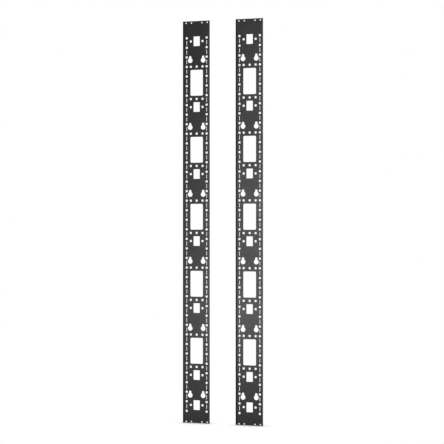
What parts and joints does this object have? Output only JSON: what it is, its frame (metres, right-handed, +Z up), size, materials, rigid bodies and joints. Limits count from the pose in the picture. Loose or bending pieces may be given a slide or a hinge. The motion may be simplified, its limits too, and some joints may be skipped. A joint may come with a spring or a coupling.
{
  "type": "rack mounting rail pair",
  "caption": "Pair of tall black folded-steel rack rails, punched with square holes, tie slots, keyholes and cable windows, for mounting power strips and cable accessories.",
  "frame": {"origin": "bottom centre of the box round both rails: midway between them, halfway through their depth", "axes": "+Z up the rails, +Y towards the flat back that meets the rack, so the open side of the channels faces -Y"},
  "size_m": [0.3864, 0.01, 1.8669],
  "materials": {
    "powder_coat": "black powder coat, fine texture, satin"
  },
  "bodies": {
    "root": {"left_rail": "powder_coat", "right_rail": "powder_coat"}
  },
  "joints": []
}
